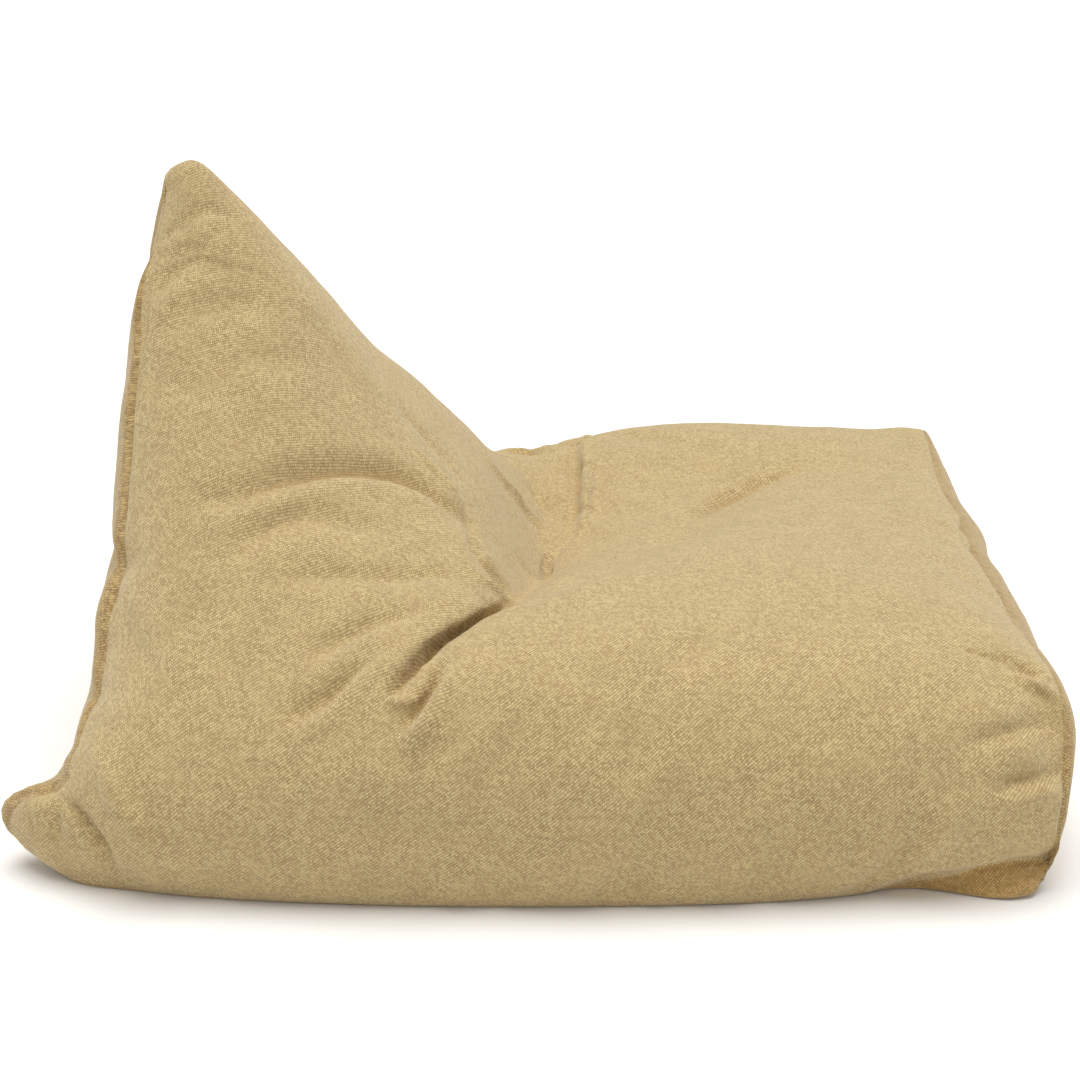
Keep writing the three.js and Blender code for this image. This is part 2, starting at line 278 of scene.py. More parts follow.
def makeBag():
    # Points, quads, the quads' places in the cut cloth, their materials, and the lines of the seams
    rings = makeRings()
    rows, around = rings.shape[:2]
    side, top = bag["sideSteps"], bag["topSteps"]
    sleeveEnd = 2 * side + top
    lengthwise = np.array([lengthsAlong(rings[:, i]) for i in range(0, sleeveEnd + 1, 6)]).mean(axis=0)
    across = np.array([lengthsAlong(np.vstack([ring, ring[:1]])) for ring in rings])
    points = [rings.reshape(-1, 3)]
    quads, cloth, cut = [], [], []
    for row in range(rows - 1):
        for i in range(around):
            after = (i + 1) % around
            corners = [(row, i), (row + 1, i), (row + 1, after), (row, after)]
            quads.append([r * around + k for r, k in corners])
            inBase = i >= sleeveEnd
            shift = bag["patternGap"] * inBase
            cut.append(int(inBase))
            cloth.append([
                (lengthwise[r] + shift, across[r, k + around * (k < i)] - inBase * across[r, -1])
                for r, k in corners
            ])
    start = rows * around
    for row, name, flip in ((0, "back", True), (rows - 1, "foot", False)):
        grid = panelGrid(rings[row], bag["panelBulges"][name])
        points.append(grid[1:-1, 1:-1].reshape(-1, 3))

        def number(i, j):
            # The point's number in the whole bag, which for the panel's edge is its number in the ring
            if i == 0:
                return row * around + j
            if i == top:
                return row * around + sleeveEnd - j
            if j == side:
                return row * around + side + i
            if j == 0:
                return row * around + around - i
            return start + (i - 1) * (side - 1) + j - 1

        for i in range(top):
            for j in range(side):
                corners = [(i, j), (i + 1, j), (i + 1, j + 1), (i, j + 1)]
                corners = corners[::-1] if flip else corners
                quads.append([number(*corner) for corner in corners])
                cloth.append([
                    (grid[corner][1] - 2 * bag["patternGap"], grid[corner][2] * bag["panelSlope"])
                    for corner in corners
                ])
                cut.append(2)
        start += (top - 1) * (side - 1)
    points = np.vstack(points)
    pullEars(points)
    points[:, 2] = np.maximum(points[:, 2], 0)
    seamRing = {"foot": (rows - 1) * around, "back": 0}
    edges = {name: points[first:first + sleeveEnd + 1].copy() for name, first in seamRing.items()}
    edges["near"] = points[0:rows * around:around].copy()
    edges["far"] = points[sleeveEnd:rows * around:around].copy()
    return points, np.array(quads), np.array(cloth), cut, edges


points, quads, cloth, cut, seamLines = makeBag()
coverMesh = bpy.data.meshes.new("poufCover")
coverMesh.from_pydata(inFrame(points).tolist(), [], quads.tolist())
uvLayer = coverMesh.uv_layers.new(name="cloth")
uvLayer.data.foreach_set("uv", (cloth.reshape(-1, 2) * mm).ravel())
coverMesh.polygons.foreach_set("material_index", cut)
cover = bpy.data.objects.new("poufCover", coverMesh)
bpy.context.scene.collection.objects.link(cover)


def flattenSleeve():
    # Unwraps the sleeve as its pattern piece lies when cut, at real size and with its length along u
    around = 2 * bag["sideSteps"] + 2 * bag["topSteps"]
    inSleeve = np.arange(len(quads)) % around < 2 * bag["sideSteps"] + bag["topSteps"]
    inSleeve &= np.arange(len(quads)) < bag["rows"] * around
    bpy.context.view_layer.objects.active = cover
    cover.select_set(True)
    bpy.context.tool_settings.mesh_select_mode = (False, False, True)
    coverMesh.polygons.foreach_set("select", inSleeve)
    bpy.ops.object.mode_set(mode="EDIT")
    bpy.ops.uv.unwrap(method="MINIMUM_STRETCH", iterations=10)
    bpy.ops.object.mode_set(mode="OBJECT")
    flat = np.empty(len(coverMesh.loops) * 2)
    layer = coverMesh.uv_layers["cloth"]
    layer.data.foreach_get("uv", flat)
    flat = flat.reshape(-1, 2)
    corners = np.repeat(inSleeve, 4)
    before = flat[corners] - flat[corners].mean(axis=0)
    after = cloth.reshape(-1, 2)[corners] * mm
    middle = after.mean(axis=0)
    left, size, right = np.linalg.svd(before.T @ (after - middle))
    flat[corners] = before @ (left @ right) * size.sum() / (before ** 2).sum() + middle
    layer.data.foreach_set("uv", flat.ravel())


flattenSleeve()
print("stage: bag", len(points), "points")


# Filling: the cloth is let go a little over it, and settles into slack folds

filling = {
    "frames": 20,
    "pressure": 3.0,
    "slack": 0.035,  # how much wider the cloth is than the shape it is held to
    "quality": 5,
    "mass": 0.35,
    "damping": 3,
    "tension": 18,
    "compression": 12,
    "shear": 6,
    "bending": 0.6,
    "heldBelow": 2,  # height under which the bag rests on the floor and keeps its place
    "cap": 5,  # the furthest that a point may move
    "broadRounds": 60,  # rounds of smoothing that leave only the broad swelling
    "shapeKept": 0.92,  # share of the broad swelling that is taken back out
    "tight": [(-95, -345, 230), (-190, -30, 420), (540, 330, 190), (-505, -320, 220)],  # where it can't swell
    "tightReach": 150,
}


def readPoints(mesh):
    flat = np.empty(len(mesh.vertices) * 3)
    mesh.vertices.foreach_get("co", flat)
    return flat.reshape(-1, 3)


def writePoints(mesh, places):
    mesh.vertices.foreach_set("co", np.asarray(places).ravel())
    mesh.update()


def smoothOver(mesh, values, rounds):
    # Averages values over neighbouring points
    ends = np.empty(len(mesh.edges) * 2, int)
    mesh.edges.foreach_get("vertices", ends)
    a, b = ends.reshape(-1, 2).T
    count = np.bincount(np.concatenate([a, b]), minlength=len(values))[:, None]
    for _ in range(rounds):
        total = np.zeros_like(values)
        np.add.at(total, a, values[b])
        np.add.at(total, b, values[a])
        values = 0.5 * values + 0.5 * total / count
    return values


def letSettle(piece):
    # Cloth simulation with pressure, its movement capped and its broad swelling mostly taken back
    scene = bpy.context.scene
    start = readPoints(piece.data)
    onFloor = start[:, 2] < filling["heldBelow"] * mm
    held = piece.vertex_groups.new(name="held")
    held.add(np.where(onFloor)[0].tolist(), 1.0, "REPLACE")
    simulation = piece.modifiers.new("filling", "CLOTH")
    settings = simulation.settings
    settings.quality = filling["quality"]
    settings.mass = filling["mass"]
    settings.air_damping = filling["damping"]
    settings.tension_stiffness = filling["tension"]
    settings.compression_stiffness = filling["compression"]
    settings.shear_stiffness = filling["shear"]
    settings.bending_stiffness = filling["bending"]
    settings.vertex_group_mass = "held"
    settings.use_pressure = True
    settings.uniform_pressure_force = filling["pressure"]
    settings.shrink_min = -filling["slack"]
    settings.effector_weights.gravity = 0
    simulation.collision_settings.use_collision = False
    simulation.point_cache.frame_start = 1
    simulation.point_cache.frame_end = filling["frames"]
    scene.frame_start = 1
    scene.frame_end = filling["frames"]
    for frameNumber in range(1, filling["frames"] + 1):
        scene.frame_set(frameNumber)
    settled = piece.evaluated_get(bpy.context.evaluated_depsgraph_get()).to_mesh()
    moved = readPoints(settled) - start
    piece.modifiers.remove(simulation)
    piece.vertex_groups.remove(held)
    scene.frame_set(1)
    moved -= filling["shapeKept"] * smoothOver(piece.data, moved, filling["broadRounds"])
    size = np.linalg.norm(moved, axis=1, keepdims=True)
    cap = filling["cap"] * mm
    moved *= cap * np.tanh(size / cap) / np.maximum(size, 1e-9)
    moved[onFloor] = 0
    for place in inFrame(filling["tight"]):
        gap = np.linalg.norm(start - place, axis=1, keepdims=True)
        moved *= np.clip(gap / (filling["tightReach"] * mm), 0, 1) ** 2
    writePoints(piece.data, start + moved)
    print("stage: settled, mean move", round(float(size.mean()) / mm, 2), "mm before the cap")


letSettle(cover)


# One subdivision, then the folds on the finer mesh

subdivision = cover.modifiers.new("finer", "SUBSURF")
subdivision.levels = 1
subdivision.render_levels = 1
finer = bpy.data.meshes.new_from_object(cover.evaluated_get(bpy.context.evaluated_depsgraph_get()))
cover.modifiers.remove(subdivision)
cover.data = finer
finer.name = "poufCoverMesh"

# Folds: depth is inwards, and below 0 for a ridge. Left and right are the half widths beside the path.
# A lower sharp brings the bottom to a line, and push turns a fold aside from straight in.
foldColumns = "depth left right sharp path push"
folds = {
    # Broad forms
    "backSwell": (-11, 70, 70, 2, [(-500, -300, 200), (-520, -150, 170), (-520, 50, 150), (-510, 200, 170)]),
    "seatValley": (13, 42, 42, 2, [(100, -150, 236), (160, -60, 218), (220, 50, 208), (262, 130, 205),
                                   (315, 205, 208)]),
    "lobe": (-12, 24, 24, 2, [(-125, -385, 262), (-92, -335, 262), (-62, -285, 256), (-38, -252, 242)]),
    "seatRoll": (-9, 20, 20, 2, [(-110, -425, 222), (-78, -375, 236), (-46, -338, 244), (-8, -312, 252)]),
    # The pinch at the near end of the crease
    "slitShade": (7, 18, 9, 1.6, [(-150, -460, 220), (-125, -420, 225), (-105, -370, 228),
                                  (-80, -320, 230)]),
    "slitBrow": (-9, 11, 11, 2, [(-145, -425, 235), (-125, -385, 245), (-100, -345, 250), (-70, -295, 245),
                                 (-45, -250, 230)]),
    "slit": (25, 7, 5, 2, [(-152, -462, 218), (-138, -440, 225), (-122, -410, 228), (-108, -372, 228),
                           (-93, -338, 230), (-76, -313, 230), (-58, -294, 230),
                           (-42, -284, 232)], (0.2, 0.6, -0.75)),
    "slitBranch": (17, 9, 8, 1.6, [(-135, -490, 200), (-125, -480, 210), (-115, -465, 220),
                                   (-105, -450, 228), (-98, -432, 227)]),
    "slitFoot": (-6, 6, 6, 2, [(-163, -458, 221), (-150, -467, 213), (-135, -467, 214), (-123, -446, 221)]),
    "slitRidge": (-13, 9, 9, 2, [(-140, -500, 185), (-122, -497, 195), (-108, -483, 212), (-92, -455, 232)]),
    "underBranch": (4, 9, 9, 2, [(-110, -510, 175), (-98, -505, 182), (-84, -500, 190)]),
    # Folds that fan out from the pinch over the back
    "mainArc": (26, 16, 14, 1.6, [(-370, -283, 358), (-315, -263, 358), (-275, -233, 358), (-220, -183, 348),
                                  (-175, -158, 334), (-145, -153, 318), (-115, -157, 302),
                                  (-90, -148, 284)]),
    "mainArcCrest": (-8, 15, 15, 2, [(-345, -300, 350), (-280, -262, 352), (-225, -215, 345),
                                     (-170, -180, 330), (-120, -175, 305)]),
    "secondArc": (12, 12, 13, 1.8, [(-340, -335, 315), (-310, -310, 330), (-285, -290, 335),
                                    (-255, -270, 338), (-215, -265, 330), (-160, -248, 312)]),
    "thirdArc": (10, 10, 12, 1.8, [(-285, -345, 300), (-235, -335, 298), (-170, -320, 292),
                                   (-120, -300, 285), (-90, -290, 280)]),
    "fourthArc": (13, 12, 12, 1.8, [(-245, -420, 245), (-215, -410, 255), (-170, -385, 268),
                                    (-125, -365, 270)]),
    "fifthArc": (14, 12, 11, 1.8, [(-258, -470, 198), (-230, -465, 210), (-205, -455, 225),
                                   (-165, -425, 248)]),
    "fifthRidge": (-7, 11, 11, 2, [(-245, -485, 185), (-215, -475, 205), (-175, -445, 235),
                                   (-158, -428, 243)]),
    # The back's front edge and the pocket behind it
    "rim": (-5, 7, 8, 1.8, [(-150, -94, 358), (-135, -103, 340), (-110, -115, 316), (-92, -120, 297)]),
    "rimValley": (6, 12, 12, 1.8, [(-165, -48, 384), (-145, -42, 366), (-125, -48, 345), (-108, -62, 322),
                                   (-95, -85, 300)]),
    "rimLow": (-6, 7, 8, 1.8, [(-86, -215, 288), (-76, -262, 278), (-63, -270, 258), (-48, -256, 238),
                               (-20, -240, 221)]),
    "pocket": (14, 13, 13, 1.6, [(-88, -110, 290), (-78, -170, 280), (-68, -210, 268), (-48, -215, 243),
                                 (-26, -215, 222)]),
    "faceRidge": (-8, 12, 9, 1.8, [(-78, 115, 275), (-56, 118, 240), (-38, 130, 212), (-20, 140, 182),
                                   (-6, 140, 158)]),
    "faceTrough": (14, 8, 9, 1.6, [(-22, 250, 178), (-12, 240, 162), (2, 220, 150), (14, 195, 147),
                                   (22, 160, 150)]),
    "pit": (15, 5, 6, 1.6, [(10, 62, 156), (10, 25, 158), (9, -10, 161), (6, -45, 168)]),
    "farRidge": (-13, 10, 10, 2, [(68, 415, 190), (65, 355, 200), (62, 230, 196), (55, 110, 184),
                                  (36, 60, 170)]),
    "farTrough": (16, 8, 12, 1.6, [(48, 395, 184), (48, 285, 184), (41, 195, 180), (33, 130, 166)]),
    "farLine": (5, 8, 6, 1.8, [(84, 390, 200), (80, 290, 200), (76, 200, 196), (68, 130, 190),
                               (50, 80, 178)]),
    "farNotch": (17, 22, 24, 1.6, [(-22, 500, 60), (-16, 488, 110), (-12, 468, 150), (-10, 440, 164),
                                   (-10, 405, 170)], (0, 0, -1)),
    "seatFurrow": (14, 8, 12, 1.8, [(185, 50, 206), (205, 90, 203), (230, 130, 203), (260, 162, 205),
                                    (292, 190, 207), (340, 208, 213)]),
    # Slack folds of the far side, much as the near side's
    "farArc": (15, 15, 15, 1.8, [(-375, 285, 345), (-320, 265, 350), (-270, 245, 345), (-215, 225, 325),
                                 (-165, 225, 300)]),
    "farSecondArc": (9, 12, 13, 1.8, [(-320, 350, 290), (-265, 330, 300), (-210, 320, 288),
                                      (-150, 325, 262)]),
    "farThirdArc": (10, 12, 12, 1.8, [(-280, 425, 235), (-225, 410, 250), (-170, 395, 245),
                                      (-115, 390, 225)]),
    "farFourthArc": (10, 12, 12, 1.8, [(-255, 475, 180), (-215, 470, 195), (-165, 455, 208),
                                       (-110, 435, 208)]),
    "farFootFold": (9, 10, 12, 1.8, [(425, 480, 145), (460, 472, 158), (495, 462, 162), (530, 450, 158)]),
    # Slack folds of the foot panel
    "footPanelFold": (7, 14, 16, 2, [(552, -410, 70), (574, -310, 98), (584, -190, 108), (586, -70, 100)]),
    "footPanelFarFold": (6, 14, 16, 2, [(552, 405, 60), (574, 300, 80), (584, 190, 86), (586, 90, 80)]),
    # Slack folds of the back panel
    "backNearFold": (12, 15, 17, 2, [(-505, -395, 75), (-530, -310, 110), (-538, -210, 145),
                                     (-532, -120, 175)]),
    "backNearRidge": (-8, 16, 16, 2, [(-520, -350, 60), (-538, -250, 90), (-540, -150, 115)]),
    "backFarFold": (11, 15, 17, 2, [(-505, 395, 75), (-532, 300, 105), (-538, 200, 130)]),
    "backLowRidge": (-9, 20, 20, 2, [(-538, -80, 50), (-542, 40, 42), (-538, 190, 58)]),
    "backPeakFold": (9, 14, 16, 2, [(-440, 12, 590), (-455, -5, 520), (-475, -35, 440), (-492, -70, 370)]),
    # Slack folds near the peak
    "apexPoint": (-5, 14, 14, 2, [(-432, -25, 648), (-424, 0, 660), (-416, 25, 650)]),
    "apexFold": (6, 9, 9, 1.8, [(-430, -60, 600), (-405, -55, 610), (-390, -50, 620), (-375, -40, 625),
                                (-355, -33, 618)]),
    "underApexFold": (7, 12, 11, 1.8, [(-445, -98, 535), (-425, -95, 550), (-410, -90, 565),
                                       (-388, -78, 577)]),
    "underApexRidge": (-4, 9, 9, 2, [(-438, -128, 508), (-420, -112, 528), (-405, -100, 550),
                                     (-388, -84, 572)]),
    "peakFold": (8, 24, 12, 1.8, [(-415, -133, 506), (-390, -125, 520), (-365, -115, 525), (-335, -105, 525),
                                  (-300, -92, 520)]),
    "shoulderFold": (5, 16, 12, 1.8, [(-345, -138, 497), (-320, -145, 482), (-290, -135, 470),
                                      (-255, -105, 465)]),
    "lowShoulderFold": (4, 12, 12, 1.8, [(-445, -160, 465), (-410, -175, 465), (-375, -185, 455),
                                         (-340, -192, 443)]),
    # The left edge and the near ear
    "edgeNotch": (9, 14, 14, 2, [(-430, -300, 298), (-462, -282, 290), (-488, -240, 285),
                                 (-495, -180, 280)]),
    "edgeBump": (-6, 26, 26, 2, [(-440, -340, 250), (-472, -315, 242), (-500, -270, 235),
                                 (-510, -200, 230)]),
    "edgeLowNotch": (7, 12, 12, 2, [(-440, -395, 178), (-470, -370, 173), (-505, -320, 168)]),
    "earShoulder": (-7, 9, 9, 2, [(-478, -440, 128), (-500, -422, 122), (-520, -400, 115)]),
    "earTopNotch": (7, 8, 8, 2, [(-512, -450, 100), (-517, -435, 108), (-522, -415, 106)]),
    "leftDrape": (4, 9, 10, 2, [(-468, -285, 275), (-455, -310, 255), (-435, -355, 245), (-418, -390, 230),
                                (-395, -420, 222)]),
    "midDrape": (3, 9, 9, 2, [(-385, -375, 262), (-365, -395, 250), (-335, -410, 245), (-315, -418, 238)]),
    "earValley": (17, 7, 8, 1.8, [(-497, -458, 102), (-478, -480, 94), (-465, -490, 80), (-450, -492, 60),
                                  (-442, -486, 30)]),
    "earRidge": (-13, 12, 12, 2, [(-465, -438, 150), (-440, -475, 132), (-428, -490, 112), (-412, -505, 90),
                                  (-398, -510, 72)]),
    "earRoot": (10, 6, 7, 1.6, [(-500, -455, 100), (-502, -470, 76), (-500, -470, 50)]),
    "earTipRidge": (-4, 9, 9, 2, [(-537, -432, 95), (-531, -445, 72), (-530, -455, 48)]),
    "earPinch": (5, 6, 6, 2, [(-555, -422, 72), (-541, -433, 90), (-525, -440, 97)]),
    # The foot end
    "farCornerTop": (-5, 20, 20, 2, [(470, 395, 214), (505, 400, 210), (530, 405, 206)]),
    "footFurrow": (5.5, 5, 6, 1.8, [(435, -373, 230), (470, -380, 226), (500, -381, 219)]),
    "footTopDimple": (6, 8, 6, 2, [(495, -390, 219), (512, -394, 214), (528, -398, 208)]),
    "footTopRidge": (-10, 6, 7, 2, [(492, -403, 216), (510, -410, 210), (525, -416, 205), (540, -428, 198)]),
    "footMiddleFold": (12, 9, 12, 1.8, [(432, -480, 173), (460, -472, 180), (485, -465, 185),
                                        (510, -452, 186), (536, -443, 182)]),
    "footSideFold": (11, 11, 7, 1.6, [(462, -495, 129), (480, -490, 133), (505, -485, 136),
                                      (536, -474, 138)]),
    "footSideRidge": (-6, 9, 9, 2, [(470, -498, 112), (500, -492, 118), (536, -482, 121)]),
    "footSoftFold": (7, 12, 14, 2, [(340, -492, 25), (365, -503, 60), (385, -510, 85), (400, -512, 110)]),
    "footSoftRidge": (-8, 20, 20, 2, [(372, -498, 45), (395, -505, 75), (418, -505, 100), (460, -500, 118)]),
    "tuck": (3, 7, 8, 1.6, [(345, -482, 3), (372, -484, 12), (410, -484, 24), (450, -482, 31),
                            (500, -478, 34), (530, -474, 37)]),
    "tuckCrease": (4, 6, 6, 1.6, [(468, -484, 6), (495, -484, 14), (518, -480, 24), (536, -476, 44)]),
    "tuckLip": (-4, 8, 8, 2, [(345, -500, 14), (390, -502, 30), (430, -500, 42), (470, -496, 46),
                              (505, -490, 48), (536, -482, 50)]),
    "cornerTuck": (16, 18, 18, 2, [(512, -494, 0), (532, -482, 3), (540, -462, 8)], (-0.8, 0.5, 0)),
}
pressing = {
    "steps": 60,  # points along each fold's path
    "fade": 0.08,  # how early a fold begins to fade at its ends
    "reach": 3,  # how far from its path a fold still acts, in its own widths
    "pushShare": 0.6,  # how much of a pushed fold goes the way it is pushed, and not straight in
    "narrow": 8,  # folds that are narrower than this get a finer mesh
    "narrowReach": 15,
    "slitReach": 24,
    "relaxFrom": 9,  # depth from which the cloth is evened out
    "relaxOver": 8,
    "relaxRounds": 3,
}


def treeOf(places):
    # Finds the nearest of the places quickly
    tree = KDTree(len(places))
    for i, place in enumerate(places):
        tree.insert(place, i)
    tree.balance()
    return tree


def refineNear(mesh, names, reach):
    # Halves the faces that lie within reach of the named folds
    tree = treeOf(np.vstack([inFrame(curveAt(folds[name][4], np.linspace(0, 1, 40))) for name in names]))
    work = bmesh.new()
    work.from_mesh(mesh)
    for face in work.faces:
        if tree.find(face.calc_center_median())[2] < reach * mm:
            for edge in face.edges:
                edge.tag = True
    near = [edge for edge in work.edges if edge.tag]
    bmesh.ops.subdivide_edges(work, edges=near, cuts=1, use_grid_fill=True)
    work.to_mesh(mesh)
    work.free()


def outwardNormals(mesh):
    flat = np.empty(len(mesh.vertices) * 3)
    mesh.vertices.foreach_get("normal", flat)
    return flat.reshape(-1, 3)


def pressFolds(mesh):
    # Presses every fold in turn, and gives how deep each point was pressed in all
    pressed = np.zeros(len(mesh.vertices))
    for row in folds.values():
        fold = dict(zip(foldColumns.split(), row))
        places = readPoints(mesh)
        normals = outwardNormals(mesh)
        line = inFrame(curveAt(fold["path"], np.linspace(0, 1, pressing["steps"])))
        reach = pressing["reach"] * max(fold["left"], fold["right"]) * mm
        low, high = line.min(axis=0) - reach, line.max(axis=0) + reach
        near = np.where(((places > low) & (places < high)).all(axis=1))[0]
        spots = near[np.linalg.norm(places[near, None] - line[None], axis=2).argmin(axis=0)]
        height = np.einsum("ij,ij->i", line - places[spots], normals[spots])
        line -= normals[spots] * height[:, None]
        gaps = np.linalg.norm(places[near, None] - line[None], axis=2)
        nearest = gaps.argmin(axis=1)
        gap = gaps.min(axis=1)
        ahead = np.gradient(line, axis=0)[nearest]
        leftward = np.einsum("ij,ij->i", np.cross(normals[near], ahead), places[near] - line[nearest]) > 0
        width = np.where(leftward, fold["left"], fold["right"]) * mm
        along = pressing["fade"] + (1 - 2 * pressing["fade"]) * nearest / (len(line) - 1)
        section = np.exp(-((gap / width) ** fold["sharp"])) * (gap < reach)
        depth = fold["depth"] * mm * np.sin(np.pi * along) * section
        inward = -normals[near]
        if "push" in fold:
            inward = (1 - pressing["pushShare"]) * inward + pressing["pushShare"] * np.array(fold["push"])
        places[near] += inward * depth[:, None]
        pressed[near] += depth / mm
        writePoints(mesh, places)
    return pressed


# Lumps of the filling and the cloth's own small creases

lumps = {
    "sizes": [(1.6, 120), (0.9, 45), (0.35, 18)],  # height and breadth of each kind
    "fromFloor": 20,  # height up to which the floor flattens them
}


def addLumps(mesh):
    places = readPoints(mesh)
    lump = np.array([
        sum(rise * noise.noise(Vector(place) / (breadth * mm)) for rise, breadth in lumps["sizes"])
        for place in places
    ])
    lift = np.clip(places[:, 2] / (lumps["fromFloor"] * mm), 0, 1)
    writePoints(mesh, places + outwardNormals(mesh) * (lump * lift * mm)[:, None])


def relaxDeepFolds(mesh, pressed):
    # Evens out the cloth inside the deepest folds, where it was pushed over itself
    share = np.clip((pressed - pressing["relaxFrom"]) / pressing["relaxOver"], 0, 1)[:, None]
    places = readPoints(mesh)
    writePoints(mesh, places + share * (smoothOver(mesh, places, pressing["relaxRounds"]) - places))


narrow = [name for name, row in folds.items() if min(row[1:3]) < pressing["narrow"]]
refineNear(finer, narrow, pressing["narrowReach"])
refineNear(finer, ["slit"], pressing["slitReach"])
addLumps(finer)
pressed = pressFolds(finer)
relaxDeepFolds(finer, pressed)
places = readPoints(finer)
places[:, 2] = np.maximum(places[:, 2], 0)
writePoints(finer, places)
finer.shade_smooth()
print("stage: folds", len(finer.vertices), "points", len(finer.polygons), "quads")


# Seams, drawn in along the lines where the panels are sewn together

seamPull = {
    "upright": 2.5,  # depth at the foot and back panels
    "floor": 1,  # depth along the base
    "width": 5,
    "fromFloor": 10,  # height up to which the floor keeps the cloth from being drawn in
    "farthest": 60,  # distances and depths past this one are all the same to the material
}


def seamDistance(mesh, names):
    # How far each point lies from the nearest of the named seams, in millimetres
    lines = [seamLines[name] for name in names]
    tree = treeOf(np.vstack([inFrame(curveAt(line, np.linspace(0, 1, 8 * len(line)))) for line in lines]))
    return np.array([tree.find(place)[2] for place in readPoints(mesh)]) / mm


def drawInSeams(mesh, gaps, depth):
    places = readPoints(mesh)
    offFloor = np.clip(places[:, 2] / (seamPull["fromFloor"] * mm), 0, 1)
    pull = depth * mm * np.exp(-((gaps / seamPull["width"]) ** 2)) * offFloor
    writePoints(mesh, places - outwardNormals(mesh) * pull[:, None])


drawInSeams(finer, seamDistance(finer, ["near", "far"]), seamPull["floor"])
seamGaps = seamDistance(finer, ["foot", "back"])
drawInSeams(finer, seamGaps, seamPull["upright"])
# The cloth reads these seam distances and fold depths for its painted shade in seam grooves and deep folds,
# and for the seams' relief
for name, values in (("seam", seamGaps), ("pressed", pressed)):
    attribute = finer.attributes.new(name, "FLOAT", "POINT")
    attribute.data.foreach_set("value", np.clip(values, 0, seamPull["farthest"]))
print("stage: seams")


# Cloth: coarse cotton and linen twill, unfinished. Slanting ridges of raised threads catch the light,
# the gaps between them stay tan, and loose fibres give the matt surface a faint bloom.

weave = {
    "ridgePitch": 3.0,  # across the twill's ridges
    "threadPitch": 2.4,  # along a ridge, from one raised thread to the next
    "angle": 44,  # the ridges' rise from the sleeve's length, in degrees
    "wander": 3.0,  # how far the threads wander
    "wanderLength": 9.1,  # over what length they do
    "stagger": 0.9,  # how much a ridge's threads are set off from the next ridge's, in threads
    "ridgeFall": 0.7,  # how far the cloth falls away between two ridges
    "threadFall": 0.6,  # how far it falls away between two threads
    "yarnSpread": 0.5,  # how much one thread differs from the next
    "middle": 0.75,  # the raised pattern's middle value
    "contrast": 0.95,  # how strongly the pattern shows
    "fibre": 1.6,  # size of the uneven fibres in a yarn
    "fibreShare": 0.7,  # how strongly those fibres show
    "feltLength": 41.7,  # size of the places where fibres hide the weave more or less
    "felted": (0.36, 0.64, 0.6, 0.88),  # from and to values of how clear the weave is there
    "slubs": (71.4, 5.88),  # length and breadth of the streaks that thick yarns make
    "slubShare": 0.16,  # how much lighter or darker they are
    "patchLength": 45.5,  # size of faintly lighter and darker places
    "patches": (0.3, 0.7, 0.97, 1.04),  # from and to values of their tone
    "light": "#d8c48e",
    "dark": "#7c5730",
    "seamGrooveShade": (0.3, 2.6, 0.72, 1),  # painted shade of a seam's groove, darkening from the stitched line outwards
    "foldShade": (8, 34, 0, 0.7),  # painted shade, darkening with the depth of a fold
    "paintedFoldShadeColour": "#8a5f1e",
    "seamRise": (0.5, 5, 0, 3),  # the cloth's rise from the stitched line outwards
    "bumpStrength": 0.7,
    "bumpHeight": 0.6,
    "roughness": 0.95,
    "specular": 0.15,
    "bloom": 0.4,
    "bloomRoughness": 0.6,
    "bloomColour": "#fff6e0",
}

cloths = {
    # Sleeve: straw-coloured cotton and linen twill
    "strawLinenTwill": {},
    # Base: linen of the same weave, browner and plainer
    "brownerLinenBase": {"light": "#d4b070", "dark": "#74552a"},
    # Foot and back panels: the sleeve's twill, cut across its ridges, in darker colours that are painted
    # shade for these upright end panels
    "crossCutTwillWithPaintedShade": {"angle": -46, "light": "#c8ad74", "dark": "#6a4822"},
}


